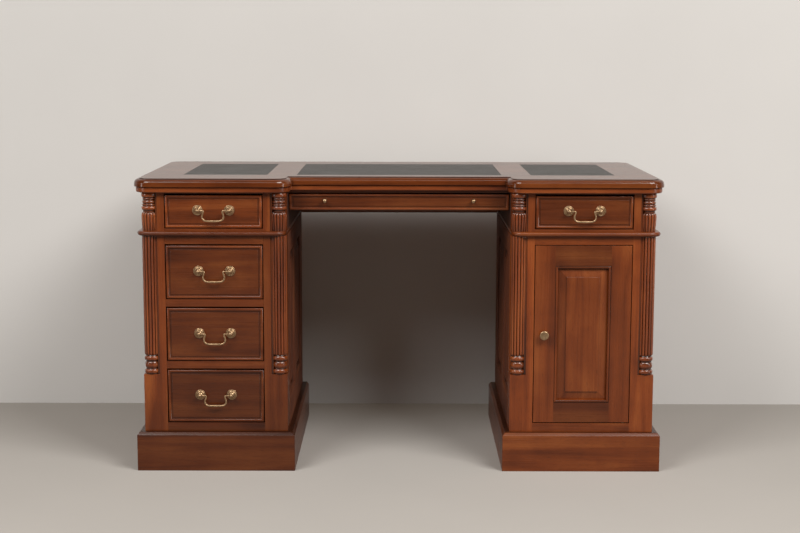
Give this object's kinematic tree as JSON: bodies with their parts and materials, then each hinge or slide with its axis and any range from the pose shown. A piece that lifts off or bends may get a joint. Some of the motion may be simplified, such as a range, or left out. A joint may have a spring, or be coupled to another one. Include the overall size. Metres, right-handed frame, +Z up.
{
  "type": "twin pedestal desk",
  "caption": "Wooden twin-pedestal writing desk with a recessed centre, dark leather insets, reeded corner columns, drawers with brass bail handles and a panelled cupboard.",
  "frame": {"origin": "on the floor under the middle of the desk", "axes": "+X to the sitter's right along the width, +Y from the drawers to the back, +Z up"},
  "size_m": [1.4, 0.6502, 0.785],
  "materials": {
    "mahogany": "satin french polish",
    "drawer_lining": "plain waxed wood",
    "dark_leather": "dark hide",
    "brass": "aged satin brass"
  },
  "bodies": {
    "desk": {"desk_top": "mahogany", "top_edge_bead": "mahogany", "left_frieze_frame": "mahogany", "right_frieze_frame": "mahogany", "frieze_back_rail": "mahogany", "centre_front_rail": "mahogany", "left_upper_columns": "mahogany", "right_upper_columns": "mahogany", "left_waist_board": "mahogany", "right_waist_board": "mahogany", "left_front_frame": "mahogany", "right_front_frame": "mahogany", "left_side_frames": "mahogany", "right_side_frames": "mahogany", "left_side_panels": "mahogany", "right_side_panels": "mahogany", "left_back_frame": "mahogany", "right_back_frame": "mahogany", "back_panels": "mahogany", "left_plinth": "mahogany", "right_plinth": "mahogany", "left_lower_columns": "mahogany", "right_lower_columns": "mahogany", "frieze_drawer_runners": "drawer_lining", "pedestal_bottom_boards": "drawer_lining", "left_drawer_runners": "drawer_lining", "cupboard_shelf": "drawer_lining", "leather_left": "dark_leather", "leather_centre": "dark_leather", "leather_right": "dark_leather", "shelf_pins": "brass", "door_pivot_bushes": "brass", "door_catch": "brass"},
    "left_top_drawer": {"left_top_drawer_front": "mahogany", "left_top_drawer_box": "drawer_lining", "left_top_handle_posts": "brass"},
    "left_top_handle": {"left_top_bail": "brass"},
    "left_upper_drawer": {"left_upper_drawer_front": "mahogany", "left_upper_drawer_box": "drawer_lining", "left_upper_handle_posts": "brass"},
    "left_upper_handle": {"left_upper_bail": "brass"},
    "left_middle_drawer": {"left_middle_drawer_front": "mahogany", "left_middle_drawer_box": "drawer_lining", "left_middle_handle_posts": "brass"},
    "left_middle_handle": {"left_middle_bail": "brass"},
    "left_lower_drawer": {"left_lower_drawer_front": "mahogany", "left_lower_drawer_box": "drawer_lining", "left_lower_handle_posts": "brass"},
    "left_lower_handle": {"left_lower_bail": "brass"},
    "right_top_drawer": {"right_top_drawer_front": "mahogany", "right_top_drawer_box": "drawer_lining", "right_top_handle_posts": "brass"},
    "right_top_handle": {"right_top_bail": "brass"},
    "centre_drawer": {"centre_drawer_front": "mahogany", "centre_drawer_box": "drawer_lining", "centre_drawer_knobs": "brass"},
    "cupboard_door": {"door_frame": "mahogany", "door_panel": "mahogany", "door_knob": "brass", "door_pivot_pins": "brass"}
  },
  "joints": [
    {"name": "left_top_drawer_slide", "type": "slide", "parent": "desk", "child": "left_top_drawer", "axis": [0, -1, 0], "range_m": [0, 0.38]},
    {"name": "left_top_handle_swing", "type": "hinge", "parent": "left_top_drawer", "child": "left_top_handle", "pos_m": [-0.489, -0.32, 0.70125], "axis": [-1, 0, 0], "range_deg": [-15, 95]},
    {"name": "left_upper_drawer_slide", "type": "slide", "parent": "desk", "child": "left_upper_drawer", "axis": [0, -1, 0], "range_m": [0, 0.38]},
    {"name": "left_upper_handle_swing", "type": "hinge", "parent": "left_upper_drawer", "child": "left_upper_handle", "pos_m": [-0.489, -0.32, 0.53975], "axis": [-1, 0, 0], "range_deg": [-15, 95]},
    {"name": "left_middle_drawer_slide", "type": "slide", "parent": "desk", "child": "left_middle_drawer", "axis": [0, -1, 0], "range_m": [0, 0.38]},
    {"name": "left_middle_handle_swing", "type": "hinge", "parent": "left_middle_drawer", "child": "left_middle_handle", "pos_m": [-0.489, -0.32, 0.37225], "axis": [-1, 0, 0], "range_deg": [-15, 95]},
    {"name": "left_lower_drawer_slide", "type": "slide", "parent": "desk", "child": "left_lower_drawer", "axis": [0, -1, 0], "range_m": [0, 0.38]},
    {"name": "left_lower_handle_swing", "type": "hinge", "parent": "left_lower_drawer", "child": "left_lower_handle", "pos_m": [-0.489, -0.32, 0.20475], "axis": [-1, 0, 0], "range_deg": [-15, 95]},
    {"name": "right_top_drawer_slide", "type": "slide", "parent": "desk", "child": "right_top_drawer", "axis": [0, -1, 0], "range_m": [0, 0.38]},
    {"name": "right_top_handle_swing", "type": "hinge", "parent": "right_top_drawer", "child": "right_top_handle", "pos_m": [0.489, -0.32, 0.70125], "axis": [-1, 0, 0], "range_deg": [-15, 95]},
    {"name": "centre_drawer_slide", "type": "slide", "parent": "desk", "child": "centre_drawer", "axis": [0, -1, 0], "range_m": [0, 0.3]},
    {"name": "cupboard_door_swing", "type": "hinge", "parent": "desk", "child": "cupboard_door", "pos_m": [0.603, -0.3, 0.37], "axis": [0, 0, 1], "range_deg": [0, 110]}
  ]
}
